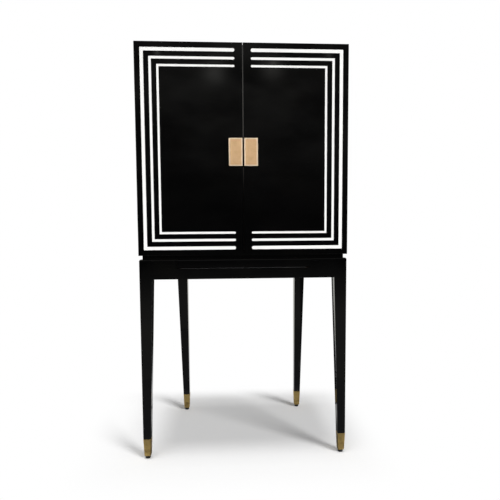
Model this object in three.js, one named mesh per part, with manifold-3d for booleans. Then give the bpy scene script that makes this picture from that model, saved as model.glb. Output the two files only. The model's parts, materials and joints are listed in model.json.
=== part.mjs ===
// Bar cabinet: a two-door box on a stand with four tapered legs. A serving shelf slides out of
// the stand's front rail, and its front edge folds down level with the shelf.
// Millimetres, +Z up. The doors face -Y, and the origin is on the floor under the middle.
import * as THREE from 'three';
import { mergeVertices } from 'three/addons/utils/BufferGeometryUtils.js';
import Module from 'manifold-3d';

const wasm = await Module();
wasm.setup();

// Whole cabinet
const cabinetWidth = 812;
const cabinetDepth = 508; // from the door fronts to the back
const boxHeight = 802;
const plinthHeight = 15;
const standHeight = 798;

// Fits
const glueLine = 0.1; // between pieces that are fixed together
const slidingGap = 0.4; // between pieces that move past each other
const boreGap = 0.15; // round a pin in its hole
const overrun = 5; // how far a cutter passes the face that it cuts

// Box
const boardThickness = 20;
const backThickness = 8;
const backInset = 2;
const plinthInset = 13;

// Fittings inside the box
const shelfThickness = 18;
const shelfHeight = 357; // underside of the box to the underside of the fixed shelf
const fittingSetback = 18; // behind the front edges of the box
const railCount = 4;
const railSpacing = 95;
const railHeight = 26;
const railWebWidth = 12;
const railFlangeWidth = 64;
const railFlangeThickness = 8;
const railFrontSetback = 32;
const catchWidth = 54;
const catchDepth = 14;
const catchHeight = 13;
const strikeThickness = 1.2;
const strikeWidth = 18;
const strikeFromMiddle = 6;

// Doors
const doorThickness = 22;
const doorBackGap = 2; // closed door to the front edges of the box
const meetingGap = 1.2; // between the two doors
const inlayMargin = 22; // door edge to the outermost line
const inlayWidths = { outer: 12.6, middle: 9.3, inner: 8 };
const inlaySpacing = 19.5;
const inlayEndMargin = 31; // rounded ends to the middle of the cabinet
const inlayDepth = 2;

// Pulls
const pullWidth = 51.5;
const pullHeight = 105;
const pullThickness = 5;
const pullBevel = 1.6;
const pullReach = 16; // plate front to door front
const pullNeckWidth = 24;
const pullNeckHeight = 70;
const pullGap = 7; // between the two plates
const pullBelowMiddle = 8;

// Hinges
const hingeHeight = 70;
const hingeFromEnd = 108; // door end to the nearer end of the hinge
const hingeAxisOut = 0.6; // pin centre outside the side of the cabinet
const knuckleRadius = 4;
const knuckleCount = 5;
const hingePinRadius = 1.8;
const hingePinHeadRadius = 3;
const hingePinHeadHeight = 1;
const leafWidth = 18.5;
const leafThickness = 1.6;
const leafGap = 0.4; // between the two leaves of a closed hinge

// Stand
const standSetback = 4; // behind the door fronts
const standSideInset = 1; // inside the box's sides and back
const apronHeight = 78;
const railThickness = 20;
const edgeRadius = 6;
const legTopWidth = 49;
const legFootWidth = 30.5;
const rearLegInset = 143; // stand side to the rear leg's straight inner face
const ferruleTop = 82;
const ferruleTopWidth = 31.5;
const ferruleFootWidth = 25.5;
const ferruleFloor = 20; // solid metal under the leg's tenon
const ferruleFootRadius = 3.5;
const tenonTopWidth = 25;
const tenonFootWidth = 20;
const glideHeight = 11;
const glideRadius = 10;
const glideFaceRadius = 7;

// Serving shelf
const dropFrontWidth = 518;
const dropFrontHeight = 34.5;
const dropFrontThickness = 10;
const dropFrontSideGap = 1;
const dropFrontTopGap = 1; // below the top of the stand
const dropFrontBottomGap = 1.5;
const dropFrontChamfer = 2;
const pivotFromFront = 6;
const pivotFromBottom = 9;
const boardDepth = 330;
const boardHeight = 12;
const runnerWidth = 24;
const runnerGrip = 7; // how far the board's edge runs in the groove
const runnerFlange = 10; // wood under the groove
const pivotRodRadius = 1.5;
const pivotRodEndInset = 2;
const armThickness = 3;
const armRadius = 3.5;
const armLength = 30; // part let into the board
const armFromEnd = 58; // drop front end to the arm

// Facets
const edgeSteps = 3;
const inlayEndSteps = 8;
const pinSides = 20;

// Places worked out from the sizes
const halfWidth = cabinetWidth / 2;
const doorFront = (pullReach - cabinetDepth) / 2;
const cabinetBack = doorFront + cabinetDepth;
const doorBack = doorFront + doorThickness;
const boxFront = doorBack + doorBackGap;
const boxBottom = standHeight + plinthHeight;
const insideHalfWidth = halfWidth - boardThickness;
const insideTop = boxHeight - boardThickness;
const backFront = cabinetBack - backInset - backThickness;
const hingeX = halfWidth + hingeAxisOut;
const hingeY = doorBack + doorBackGap / 2;
const standHalfWidth = halfWidth - standSideInset;
const standFront = doorFront + standSetback;
const standBack = cabinetBack - standSideInset;
const apronBottom = standHeight - apronHeight;
const rearLegX = standHalfWidth - rearLegInset;
const rearLegBack = standBack - railThickness - glueLine;
const dropFrontBottom = standHeight - dropFrontTopGap - dropFrontHeight;
const pivotY = standFront + pivotFromFront;
const pivotZ = dropFrontBottom + pivotFromBottom;
const pivotToBack = dropFrontThickness - pivotFromFront;
const boardTop = pivotZ + pivotToBack;
const boardBottom = boardTop - boardHeight;
const boardFront = pivotY + Math.hypot(pivotToBack, pivotFromBottom) + slidingGap;
const boardHalfWidth = dropFrontWidth / 2;
const armX = boardHalfWidth - armFromEnd;
const sides = { left: -1, right: 1 };

// Finishes
const finish = (color, roughness, metalness) =>
  new THREE.MeshStandardMaterial({ color, roughness, metalness });
const blackLacquer = finish(0x0b0b0c, 0.08, 0);
const whiteInlay = finish(0xf3f1ec, 0.3, 0);
const satinBrass = finish(0xcfa87c, 0.35, 1);
const agedBrass = finish(0x8a7247, 0.4, 1);
const walnut = finish(0x5a3a26, 0.45, 0);
const steel = finish(0x9b9c9d, 0.35, 1);
const blackMetal = finish(0x161617, 0.3, 0.2);
const blackPlastic = finish(0x18181a, 0.55, 0);

// Solids and geometries

function toSolid(geometry) {
  const bare = geometry.clone();
  bare.deleteAttribute('normal');
  bare.deleteAttribute('uv');
  const welded = mergeVertices(bare);
  return new wasm.Manifold(new wasm.Mesh({
    numProp: 3,
    vertProperties: welded.attributes.position.array,
    triVerts: new Uint32Array(welded.index.array),
  }));
}

function toGeometry(solid) {
  const mesh = solid.getMesh();
  const geometry = new THREE.BufferGeometry();
  geometry.setAttribute('position', new THREE.BufferAttribute(mesh.vertProperties, 3));
  geometry.setIndex(new THREE.BufferAttribute(mesh.triVerts, 1));
  geometry.computeVertexNormals();
  return geometry;
}

// One geometry with the others cut out of it
function cut(base, cutters) {
  return toGeometry(cutters.reduce((solid, cutter) => solid.subtract(toSolid(cutter)), toSolid(base)));
}

function join(geometries) {
  return toGeometry(geometries.map(toSolid).reduce((solid, other) => solid.add(other)));
}

// Pieces with a left and a right twin are shaped for the left, with x running towards the middle
function handed(geometry, side) {
  if (side < 0) {
    return geometry;
  }
  const twin = geometry.clone().scale(-1, 1, 1);
  const index = twin.index ?? new THREE.BufferAttribute(
    Uint32Array.from({ length: twin.attributes.position.count }, (_, i) => i), 1);
  for (let i = 0; i < index.count; i += 3) {
    const second = index.getX(i + 1);
    index.setX(i + 1, index.getX(i + 2));
    index.setX(i + 2, second);
  }
  twin.setIndex(index);
  twin.computeVertexNormals();
  return twin;
}

function boxBetween([x0, x1], [y0, y1], [z0, z1]) {
  const geometry = new THREE.BoxGeometry(x1 - x0, y1 - y0, z1 - z0);
  return geometry.translate((x0 + x1) / 2, (y0 + y1) / 2, (z0 + z1) / 2);
}

// A shape drawn in x and z, running along y
function alongY(shape, y0, y1, curveSegments = edgeSteps) {
  const geometry = new THREE.ExtrudeGeometry(shape, { depth: y1 - y0, bevelEnabled: false, curveSegments });
  return geometry.rotateX(Math.PI / 2).translate(0, y1, 0);
}

// A shape drawn in y and z, running along x
function alongX(shape, x0, x1, curveSegments = edgeSteps) {
  const geometry = new THREE.ExtrudeGeometry(shape, { depth: x1 - x0, bevelEnabled: false, curveSegments });
  return geometry.rotateY(Math.PI / 2).rotateX(Math.PI / 2).translate(x0, 0, 0);
}

function rodAlongZ(radius, z0, z1) {
  const geometry = new THREE.CylinderGeometry(radius, radius, z1 - z0, pinSides);
  return geometry.rotateX(Math.PI / 2).translate(0, 0, (z0 + z1) / 2);
}

function rodAlongX(radius, x0, x1) {
  const geometry = new THREE.CylinderGeometry(radius, radius, x1 - x0, pinSides);
  return geometry.rotateZ(Math.PI / 2).translate((x0 + x1) / 2, 0, 0);
}

// A closed body through rectangles stacked from the bottom up, each { z, x: [x0, x1], y: [y0, y1] }
function pillar(sections) {
  const positions = sections.flatMap(({ z, x, y }) =>
    [x[0], y[0], z, x[1], y[0], z, x[1], y[1], z, x[0], y[1], z]);
  const index = [0, 3, 2, 0, 2, 1];
  for (let level = 0; level < sections.length - 1; level += 1) {
    for (let corner = 0; corner < 4; corner += 1) {
      const a = 4 * level + corner;
      const b = 4 * level + (corner + 1) % 4;
      index.push(a, b, b + 4, a, b + 4, a + 4);
    }
  }
  const top = 4 * (sections.length - 1);
  index.push(top, top + 1, top + 2, top, top + 2, top + 3);
  const geometry = new THREE.BufferGeometry();
  geometry.setAttribute('position', new THREE.Float32BufferAttribute(positions, 3));
  geometry.setIndex(new THREE.BufferAttribute(Uint32Array.from(index), 1));
  geometry.computeVertexNormals();
  return geometry;
}

// A square section about a centre line, for pillar
const squareSection = (z, width, centre = 0) => ({
  z,
  x: [centre - width / 2, centre + width / 2],
  y: [centre - width / 2, centre + width / 2],
});

const outline = (points) => new THREE.Shape(points.map(([x, y]) => new THREE.Vector2(x, y)));

function addMesh(parent, name, geometry, material) {
  const mesh = new THREE.Mesh(geometry, material);
  mesh.name = name;
  parent.add(mesh);
  return mesh;
}

function addBoard(parent, name, material, [x0, x1], [y0, y1], [z0, z1]) {
  const mesh = addMesh(parent, name, new THREE.BoxGeometry(x1 - x0, y1 - y0, z1 - z0), material);
  mesh.position.set((x0 + x1) / 2, (y0 + y1) / 2, (z0 + z1) / 2);
  return mesh;
}

function addGroup(parent, x, y, z) {
  const group = new THREE.Group();
  group.position.set(x, y, z);
  parent.add(group);
  return group;
}

// Butt hinges. Their frame has the pin on the z axis, x towards the middle of the cabinet and
// z from the lower end of the barrel. The door's leaf lies at negative y.

const hingeStarts = {
  upper: boxHeight - hingeFromEnd - hingeHeight,
  lower: hingeFromEnd,
};
const leafOuter = leafGap / 2 + leafThickness;
const hingeReach = hingePinHeadHeight + 2 * glueLine;

// The recess that a leaf and the barrel need in a board, with `toward` the leaf's side of the pin
function hingeRecess(start, toward) {
  const faces = [toward * (leafOuter + glueLine), 0].sort((a, b) => a - b);
  const pocket = boxBetween([0, leafWidth + glueLine], faces, [-glueLine, hingeHeight + glueLine]);
  const scoop = rodAlongZ(knuckleRadius + slidingGap, -hingeReach - slidingGap,
    hingeHeight + hingeReach + slidingGap);
  return [pocket, scoop].map((cutter) => cutter.translate(0, 0, start));
}

function hingeLeaf(toward, firstKnuckle) {
  const faces = [toward * leafOuter, toward * leafGap / 2].sort((a, b) => a - b);
  const pieces = [boxBetween([knuckleRadius + slidingGap, leafWidth], faces, [0, hingeHeight])];
  const pitch = hingeHeight / knuckleCount;
  for (let knuckle = firstKnuckle; knuckle < knuckleCount; knuckle += 2) {
    const from = knuckle * pitch + (knuckle > 0 ? slidingGap / 2 : 0);
    const to = (knuckle + 1) * pitch - (knuckle < knuckleCount - 1 ? slidingGap / 2 : 0);
    pieces.push(rodAlongZ(knuckleRadius, from, to));
    pieces.push(boxBetween([0, leafWidth], faces, [from, to]));
  }
  return cut(join(pieces), [rodAlongZ(hingePinRadius + boreGap, -overrun, hingeHeight + overrun)]);
}

function hingePin() {
  const head = hingeHeight + glueLine;
  const profile = [
    [0, -glueLine - hingePinHeadHeight],
    [hingePinHeadRadius, -glueLine - hingePinHeadHeight],
    [hingePinHeadRadius, -glueLine],
    [hingePinRadius, -glueLine],
    [hingePinRadius, head],
    [hingePinHeadRadius, head],
    [hingePinHeadRadius, head + hingePinHeadHeight],
    [0, head + hingePinHeadHeight],
  ];
  const points = profile.map(([radius, along]) => new THREE.Vector2(radius, along));
  return new THREE.LatheGeometry(points, pinSides).rotateX(Math.PI / 2);
}

// Box: four boards mitred at the corners, with a back let in between them

function addBox(parent) {
  const box = addGroup(parent, 0, 0, boxBottom);
  const innerX = insideHalfWidth;
  const bottom = outline([
    [-halfWidth + glueLine, 0], [halfWidth - glueLine, 0],
    [innerX - glueLine, boardThickness], [-innerX + glueLine, boardThickness]]);
  const top = outline([
    [-innerX + glueLine, insideTop], [innerX - glueLine, insideTop],
    [halfWidth - glueLine, boxHeight], [-halfWidth + glueLine, boxHeight]]);
  addMesh(box, 'carcass_bottom', alongY(bottom, boxFront, cabinetBack), blackLacquer);
  addMesh(box, 'carcass_top', alongY(top, boxFront, cabinetBack), blackLacquer);

  // The side boards are drawn from the hinge line, which is where their recesses belong
  const sideOutline = outline([
    [hingeAxisOut, glueLine], [hingeAxisOut + boardThickness, boardThickness + glueLine],
    [hingeAxisOut + boardThickness, insideTop - glueLine], [hingeAxisOut, boxHeight - glueLine]]);
  const board = alongY(sideOutline, boxFront - hingeY, cabinetBack - hingeY);
  const recesses = Object.values(hingeStarts).flatMap((start) => hingeRecess(start, 1));
  const sideBoard = cut(board, recesses);
  for (const [name, side] of Object.entries(sides)) {
    const hingeLine = addGroup(box, side * hingeX, hingeY, 0);
    addMesh(hingeLine, `carcass_side_${name}`, handed(sideBoard, side), blackLacquer);
    for (const [level, start] of Object.entries(hingeStarts)) {
      const hinge = addGroup(hingeLine, 0, 0, start);
      addMesh(hinge, `hinge_${level}_${name}_box_leaf`, handed(hingeLeaf(1, 0), side), blackMetal);
      addMesh(hinge, `hinge_${level}_${name}_pin`, hingePin(), blackMetal);
    }
  }
  addFittings(box);
}

function addFittings(box) {
  const spanX = [-insideHalfWidth + glueLine, insideHalfWidth - glueLine];
  const spanY = [boxFront + fittingSetback, backFront - glueLine];
  const backZ = [boardThickness + glueLine, insideTop - glueLine];
  addBoard(box, 'back_panel', walnut, spanX, [backFront, backFront + backThickness], backZ);
  addBoard(box, 'fixed_shelf', walnut, spanX, spanY, [shelfHeight, shelfHeight + shelfThickness]);
  addBoard(box, 'bottle_divider', walnut, [-shelfThickness / 2, shelfThickness / 2], spanY,
    [boardThickness + glueLine, shelfHeight - glueLine]);

  // T-shaped rails that hold glasses by the foot
  const railBottom = insideTop - glueLine - railHeight;
  const flangeTop = railBottom + railFlangeThickness;
  const rail = outline([
    [-railFlangeWidth / 2, railBottom], [railFlangeWidth / 2, railBottom],
    [railFlangeWidth / 2, flangeTop], [railWebWidth / 2, flangeTop],
    [railWebWidth / 2, insideTop - glueLine], [-railWebWidth / 2, insideTop - glueLine],
    [-railWebWidth / 2, flangeTop], [-railFlangeWidth / 2, flangeTop]]);
  for (let i = 0; i < railCount; i += 1) {
    const geometry = alongY(rail, boxFront + railFrontSetback, backFront - glueLine);
    const mesh = addMesh(box, `stemware_rail_${i + 1}`, geometry, walnut);
    mesh.position.x = (i - (railCount - 1) / 2) * railSpacing;
  }

  // Magnetic catch for both doors, just clear of their strike plates
  const catchFront = doorBack + glueLine + strikeThickness + slidingGap;
  addBoard(box, 'magnetic_catch', blackPlastic, [-catchWidth / 2, catchWidth / 2],
    [catchFront, catchFront + catchDepth], [insideTop - glueLine - catchHeight, insideTop - glueLine]);
}

// Doors, drawn from their hinge line: x towards the middle, z from the underside of the box

const doorEdges = [hingeAxisOut, hingeX - meetingGap / 2];
const doorFaces = [doorFront - hingeY, doorBack - hingeY];

// A bracket-shaped line with mitred corners by the hinge and round ends towards the middle
function inlayOutline(inset, width, grow = 0) {
  const [low, high] = [inset - grow, boxHeight - inset + grow];
  const band = width + 2 * grow;
  const radius = band / 2;
  const outerX = doorEdges[0] + inset - grow;
  const endX = hingeX - inlayEndMargin + grow - radius;
  const shape = new THREE.Shape();
  shape.moveTo(outerX, low);
  shape.lineTo(endX, low);
  shape.absarc(endX, low + radius, radius, -Math.PI / 2, Math.PI / 2, false);
  shape.lineTo(outerX + band, low + band);
  shape.lineTo(outerX + band, high - band);
  shape.lineTo(endX, high - band);
  shape.absarc(endX, high - radius, radius, -Math.PI / 2, Math.PI / 2, false);
  shape.lineTo(outerX, high);
  return shape;
}

function inlayInsets() {
  const insets = {};
  let inset = inlayMargin;
  for (const [name, width] of Object.entries(inlayWidths)) {
    insets[name] = inset;
    inset += width + inlaySpacing;
  }
  return insets;
}

function pullGeometry() {
  const neck = { x: [-pullNeckWidth / 2, pullNeckWidth / 2], y: [-pullNeckHeight / 2, pullNeckHeight / 2] };
  const plate = { x: [-pullWidth / 2, pullWidth / 2], y: [-pullHeight / 2, pullHeight / 2] };
  const face = {
    x: [plate.x[0] + pullBevel, plate.x[1] - pullBevel],
    y: [plate.y[0] + pullBevel, plate.y[1] - pullBevel],
  };
  const plateBack = pullReach - pullThickness;
  return pillar([
    { z: glueLine, ...neck },
    { z: plateBack, ...neck },
    { z: plateBack, ...plate },
    { z: pullReach - pullBevel, ...plate },
    { z: pullReach, ...face },
  ]).rotateX(Math.PI / 2);
}

function addDoor(parent, name, side) {
  const door = addGroup(parent, side * hingeX, hingeY, boxBottom);
  const insets = inlayInsets();
  const slab = boxBetween(doorEdges, doorFaces, [0, boxHeight]);
  const grooves = Object.entries(inlayWidths).map(([line, width]) => alongY(
    inlayOutline(insets[line], width, glueLine),
    doorFaces[0] - overrun, doorFaces[0] + inlayDepth + glueLine, inlayEndSteps));
  const recesses = Object.values(hingeStarts).flatMap((start) => hingeRecess(start, -1));
  addMesh(door, `door_${name}`, handed(cut(slab, [...grooves, ...recesses]), side), blackLacquer);

  for (const [line, width] of Object.entries(inlayWidths)) {
    const strip = alongY(inlayOutline(insets[line], width), doorFaces[0], doorFaces[0] + inlayDepth,
      inlayEndSteps);
    addMesh(door, `inlay_${line}_${name}`, handed(strip, side), whiteInlay);
  }
  for (const [level, start] of Object.entries(hingeStarts)) {
    const leaf = handed(hingeLeaf(-1, 1), side);
    addMesh(door, `hinge_${level}_${name}_door_leaf`, leaf, blackMetal).position.z = start;
  }

  const pull = addMesh(door, `pull_${name}`, pullGeometry(), satinBrass);
  pull.position.x = side * ((pullGap + pullWidth) / 2 - hingeX);
  pull.position.y = doorFaces[0];
  pull.position.z = boxHeight / 2 - pullBelowMiddle;

  const strikeX = [hingeX - strikeFromMiddle - strikeWidth, hingeX - strikeFromMiddle];
  const strikeY = [doorFaces[1] + glueLine, doorFaces[1] + glueLine + strikeThickness];
  const strikeZ = [insideTop - glueLine - catchHeight, insideTop - glueLine];
  const strike = boxBetween(strikeX, strikeY, strikeZ);
  addMesh(door, `strike_plate_${name}`, handed(strike, side), steel);
}

// Stand

// A rail's section with its upper outer edge rounded, drawn from the outer face inwards
function railOutline() {
  const shape = new THREE.Shape();
  shape.moveTo(0, apronBottom);
  shape.lineTo(railThickness, apronBottom);
  shape.lineTo(railThickness, standHeight);
  shape.lineTo(edgeRadius, standHeight);
  shape.absarc(edgeRadius, standHeight - edgeRadius, edgeRadius, Math.PI / 2, Math.PI, false);
  return shape;
}

function addRails(stand) {
  const apronHalf = standHalfWidth - legTopWidth - glueLine;
  const notchHalf = dropFrontWidth / 2 + dropFrontSideGap;
  const apron = cut(alongX(railOutline(), -apronHalf, apronHalf), [boxBetween(
    [-notchHalf, notchHalf], [-overrun, railThickness + overrun],
    [dropFrontBottom - dropFrontBottomGap, standHeight + overrun])]);
  addMesh(stand, 'apron_front', apron, blackLacquer).position.y = standFront;

  const sideRail = alongY(railOutline(), standFront + legTopWidth + glueLine, standBack);
  for (const [name, side] of Object.entries(sides)) {
    const mesh = addMesh(stand, `rail_side_${name}`, handed(sideRail, side), blackLacquer);
    mesh.position.x = side * standHalfWidth;
  }
  const rearHalf = standHalfWidth - railThickness - glueLine;
  addBoard(stand, 'rail_rear', blackLacquer, [-rearHalf, rearHalf], [standBack - railThickness, standBack],
    [apronBottom, standHeight]);
}

// Leg, ferrule and glide from one corner: its straight faces are at x = 0 and y = 0
function legSections(roundedTop) {
  const section = (z, width, inset = 0) => ({ z, x: [inset, width], y: [inset, width] });
  const centre = legFootWidth / 2;
  const sections = [
    squareSection(glideHeight + ferruleFloor + glueLine, tenonFootWidth, centre),
    squareSection(ferruleTop + glueLine, tenonTopWidth, centre),
    section(ferruleTop + glueLine, legFootWidth),
    section(apronBottom, legTopWidth),
  ];
  if (!roundedTop) {
    return [...sections, section(standHeight, legTopWidth)];
  }
  for (let step = 0; step <= edgeSteps; step += 1) {
    const angle = step / edgeSteps * Math.PI / 2;
    sections.push(section(standHeight - edgeRadius * (1 - Math.sin(angle)), legTopWidth,
      edgeRadius * (1 - Math.cos(angle))));
  }
  return sections;
}

function ferruleGeometry() {
  const sections = [];
  for (let step = 0; step <= edgeSteps; step += 1) {
    const angle = step / edgeSteps * Math.PI / 2;
    sections.push(squareSection(glideHeight + ferruleFootRadius * (1 - Math.cos(angle)),
      ferruleFootWidth - 2 * ferruleFootRadius * (1 - Math.sin(angle))));
  }
  sections.push(squareSection(ferruleTop, ferruleTopWidth));
  const socket = pillar([
    squareSection(glideHeight + ferruleFloor, tenonFootWidth + 2 * glueLine),
    squareSection(ferruleTop, tenonTopWidth + 2 * glueLine),
    squareSection(ferruleTop + overrun, tenonTopWidth + 2 * glueLine),
  ]);
  return cut(pillar(sections), [socket]);
}

function glideGeometry() {
  const profile = [
    [0, 0],
    [glideFaceRadius, 0],
    [glideRadius, glideRadius - glideFaceRadius],
    [glideRadius, glideHeight - glueLine],
    [0, glideHeight - glueLine],
  ];
  const points = profile.map(([radius, up]) => new THREE.Vector2(radius, up));
  return new THREE.LatheGeometry(points, pinSides).rotateX(Math.PI / 2);
}

function addLeg(stand, name, side, [x, y], rear) {
  const corner = addGroup(stand, side * x, y, 0);
  corner.rotation.z = rear ? Math.PI : 0;
  addMesh(corner, `leg_${name}`, handed(pillar(legSections(!rear)), side), blackLacquer);
  const centre = [-side * legFootWidth / 2, legFootWidth / 2, 0];
  addMesh(corner, `ferrule_${name}`, ferruleGeometry(), agedBrass).position.set(...centre);
  addMesh(corner, `glide_${name}`, glideGeometry(), blackPlastic).position.set(...centre);
}

function addStand(parent) {
  const stand = addGroup(parent, 0, 0, 0);
  addRails(stand);
  for (const [name, side] of Object.entries(sides)) {
    addLeg(stand, `front_${name}`, side, [standHalfWidth, standFront], false);
    addLeg(stand, `rear_${name}`, side, [rearLegX, rearLegBack], true);
  }
  addBoard(parent, 'plinth_board', blackLacquer, [-halfWidth + plinthInset, halfWidth - plinthInset],
    [doorFront + plinthInset, cabinetBack - plinthInset], [standHeight + glueLine, boxBottom - glueLine]);

  // Grooved runners between the front rail and the rear legs
  const inner = -boardHalfWidth + runnerGrip;
  const [low, high] = [boardBottom - slidingGap, boardTop + slidingGap];
  const groove = -boardHalfWidth - slidingGap;
  const runner = outline([
    [inner - runnerWidth, low - runnerFlange], [inner, low - runnerFlange], [inner, low], [groove, low],
    [groove, high], [inner, high], [inner, standHeight], [inner - runnerWidth, standHeight]]);
  const runnerSpan = [standFront + railThickness + glueLine, rearLegBack - legTopWidth - glueLine];
  for (const [name, side] of Object.entries(sides)) {
    addMesh(stand, `shelf_runner_${name}`, handed(alongY(runner, ...runnerSpan), side), walnut);
  }
}

// Serving shelf: a board in the grooved runners, and a front that turns on a rod along its length

function addServingShelf(parent) {
  const shelf = addGroup(parent, 0, 0, 0);
  const board = boxBetween([-boardHalfWidth, boardHalfWidth], [boardFront, boardFront + boardDepth],
    [boardBottom, boardTop]);
  const slots = Object.values(sides).map((side) => boxBetween(
    [side * armX - armThickness / 2 - glueLine, side * armX + armThickness / 2 + glueLine],
    [boardFront - overrun, boardFront + armLength + glueLine],
    [pivotZ - armRadius - glueLine, boardTop + overrun]));
  addMesh(shelf, 'serving_shelf_board', cut(board, slots), walnut);

  // Arms and front are drawn from the rod's centre
  const pivot = addGroup(shelf, 0, pivotY, pivotZ);
  const arm = new THREE.Shape();
  arm.moveTo(0, -armRadius);
  arm.lineTo(boardFront + armLength - pivotY, -armRadius);
  arm.lineTo(boardFront + armLength - pivotY, armRadius);
  arm.lineTo(0, armRadius);
  arm.absarc(0, 0, armRadius, Math.PI / 2, Math.PI * 3 / 2, false);
  const armPlate = cut(alongX(arm, -armThickness / 2, armThickness / 2, inlayEndSteps),
    [rodAlongX(pivotRodRadius + boreGap, -armThickness, armThickness)]);
  for (const [name, side] of Object.entries(sides)) {
    addMesh(pivot, `drop_front_arm_${name}`, armPlate, steel).position.x = side * armX;
  }
  addDropFront(pivot);
}

function addDropFront(pivot) {
  const front = -pivotFromFront;
  const bottom = -pivotFromBottom;
  const top = bottom + dropFrontHeight;
  const shape = new THREE.Shape();
  shape.moveTo(front + dropFrontChamfer, bottom);
  shape.lineTo(pivotToBack, bottom);
  shape.lineTo(pivotToBack, top);
  shape.lineTo(front + edgeRadius, top);
  shape.absarc(front + edgeRadius, top - edgeRadius, edgeRadius, Math.PI / 2, Math.PI, false);
  shape.lineTo(front, bottom + dropFrontChamfer);
  const armRoom = armRadius + slidingGap;
  const notches = Object.values(sides).map((side) => boxBetween(
    [side * armX - armThickness / 2 - slidingGap, side * armX + armThickness / 2 + slidingGap],
    [-armRoom, pivotToBack + overrun],
    [bottom - overrun, armRoom]));
  const rodHole = rodAlongX(pivotRodRadius + boreGap, -boardHalfWidth - overrun, boardHalfWidth + overrun);
  const slab = alongX(shape, -boardHalfWidth, boardHalfWidth);
  addMesh(pivot, 'drop_front', cut(slab, [...notches, rodHole]), blackLacquer);

  const rodHalf = boardHalfWidth - pivotRodEndInset;
  addMesh(pivot, 'drop_front_rod', rodAlongX(pivotRodRadius, -rodHalf, rodHalf), steel);
}

const cabinet = new THREE.Group();
addStand(cabinet);
addServingShelf(cabinet);
addBox(cabinet);
for (const [name, side] of Object.entries(sides)) {
  addDoor(cabinet, name, side);
}

export default cabinet;
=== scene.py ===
import json
import math

import bmesh
import bpy
from mathutils import Matrix, Vector


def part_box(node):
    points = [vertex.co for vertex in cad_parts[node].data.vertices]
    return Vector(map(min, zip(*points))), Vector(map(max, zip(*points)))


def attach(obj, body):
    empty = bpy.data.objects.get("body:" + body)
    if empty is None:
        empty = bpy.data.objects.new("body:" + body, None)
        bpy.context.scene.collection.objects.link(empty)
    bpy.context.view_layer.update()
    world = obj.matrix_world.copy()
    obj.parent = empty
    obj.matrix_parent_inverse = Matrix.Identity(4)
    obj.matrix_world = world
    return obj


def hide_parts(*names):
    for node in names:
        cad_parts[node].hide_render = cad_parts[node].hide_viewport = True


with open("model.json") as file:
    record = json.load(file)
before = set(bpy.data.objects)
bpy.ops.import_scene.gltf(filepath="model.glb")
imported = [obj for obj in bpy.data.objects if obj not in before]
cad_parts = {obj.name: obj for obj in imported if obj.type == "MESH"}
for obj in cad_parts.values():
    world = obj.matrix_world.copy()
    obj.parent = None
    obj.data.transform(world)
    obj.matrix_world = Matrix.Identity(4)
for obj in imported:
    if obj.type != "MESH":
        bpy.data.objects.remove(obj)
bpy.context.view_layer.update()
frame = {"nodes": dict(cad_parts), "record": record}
nodes = frame["nodes"]
body_of = {name: body for body, names in frame["record"]["behaviour"]["bodies"].items() for name in names}

MM = 0.001
SIDES = {"left": -1, "right": 1}
LEVELS = ("upper", "lower")
CORNERS = ("front_left", "front_right", "rear_left", "rear_right")

# Rounded edges
LACQUER_RADIUS = 0.9 * MM
BOARD_BEVEL = 0.8 * MM
STAND_BEVEL = 0.2 * MM
LEG_BEVEL = 1.2 * MM
SMALL_BEVEL = 0.25 * MM
MAGNET_BEVEL = 0.1 * MM
LACQUER_SEGMENTS = 4
BEVEL_SEGMENTS = 3
FINE_SEGMENTS = 2
ROUND_PROFILE = 0.5
BEVEL_ABOVE = math.radians(40)
PULL_BEVEL_ABOVE = math.radians(25)
DROP_FRONT_BEVEL_ABOVE = math.radians(50)
SMOOTH_BELOW = math.radians(35)
FLAT_WITHIN = math.radians(0.2)
WELD_WITHIN = 0.01 * MM

# Pull plates: how many millimetres each step lies in from the outline and back from the front
PULL_THICKNESS = 5.0 * MM
PULL_NECK = (24.0 * MM, 70.0 * MM)
PULL_STEPS = [(0.5, 5.0), (0.0, 4.5), (0.0, 1.0), (0.4, 0.6),
              (4.2, 0.42), (4.5, 0.55), (9.3, 0.55), (9.7, 0.0)]
PULL_RIM_LEVELS = range(3, 7)

# Ferrules and glides
FERRULE_FOOT_WIDTH = 25.5 * MM
FERRULE_FOOT_RADIUS = 3.5 * MM
FERRULE_CORNER = 2.2 * MM
FERRULE_LIP = 0.45 * MM
GLIDE_FACE_RADIUS = 7.0 * MM
ROUND_STEPS = 6
ROUND_SIDES = 48

# Screws
SCREW_RADIUS = 2.7 * MM
SCREW_TIP_RADIUS = 1.215 * MM
SCREW_DEPTH = 1.3 * MM
SCREW_DOME = 0.1 * MM
SCREW_DOME_STEPS = 5
SCREW_EDGE = 0.02 * MM
SCREW_SIDES = 28
SCREW_CROSS = (3.0 * MM, 0.7 * MM, 0.7 * MM)
SCREW_FIRST_TURN = 23
SCREW_NEXT_TURN = 41
LEAF_SCREW_SHARES = (0.15, 0.5, 0.85)
LEAF_SCREW_INSET = 6.6 * MM
LEAF_SCREW_ASIDE = 1.4 * MM
LEAF_FACE_FROM_AXIS = 0.2 * MM
RAIL_SCREW_SHARES = (0.08, 0.5, 0.92)
BACK_SCREWS_ACROSS = 5
BACK_SCREWS_UP = 4
BACK_SCREW_INSET = 12 * MM
BACK_SCREW_SIZE = 1.2

# Catch, with shares of its own width and height
CATCH_SCREW_SHARES = (-0.17, 0.17)
CATCH_SCREW_BACK = 2 * MM
CATCH_SCREW_SIZE = 0.9
MAGNET_HALF_SHARE = 0.14
MAGNET_LEVEL_SHARES = (0.3, 0.7)
MAGNET_HALF_THICKNESS = 0.8 * MM
MAGNET_PROUD = 0.15 * MM
MAGNET_DEPTH = 1 * MM

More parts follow.
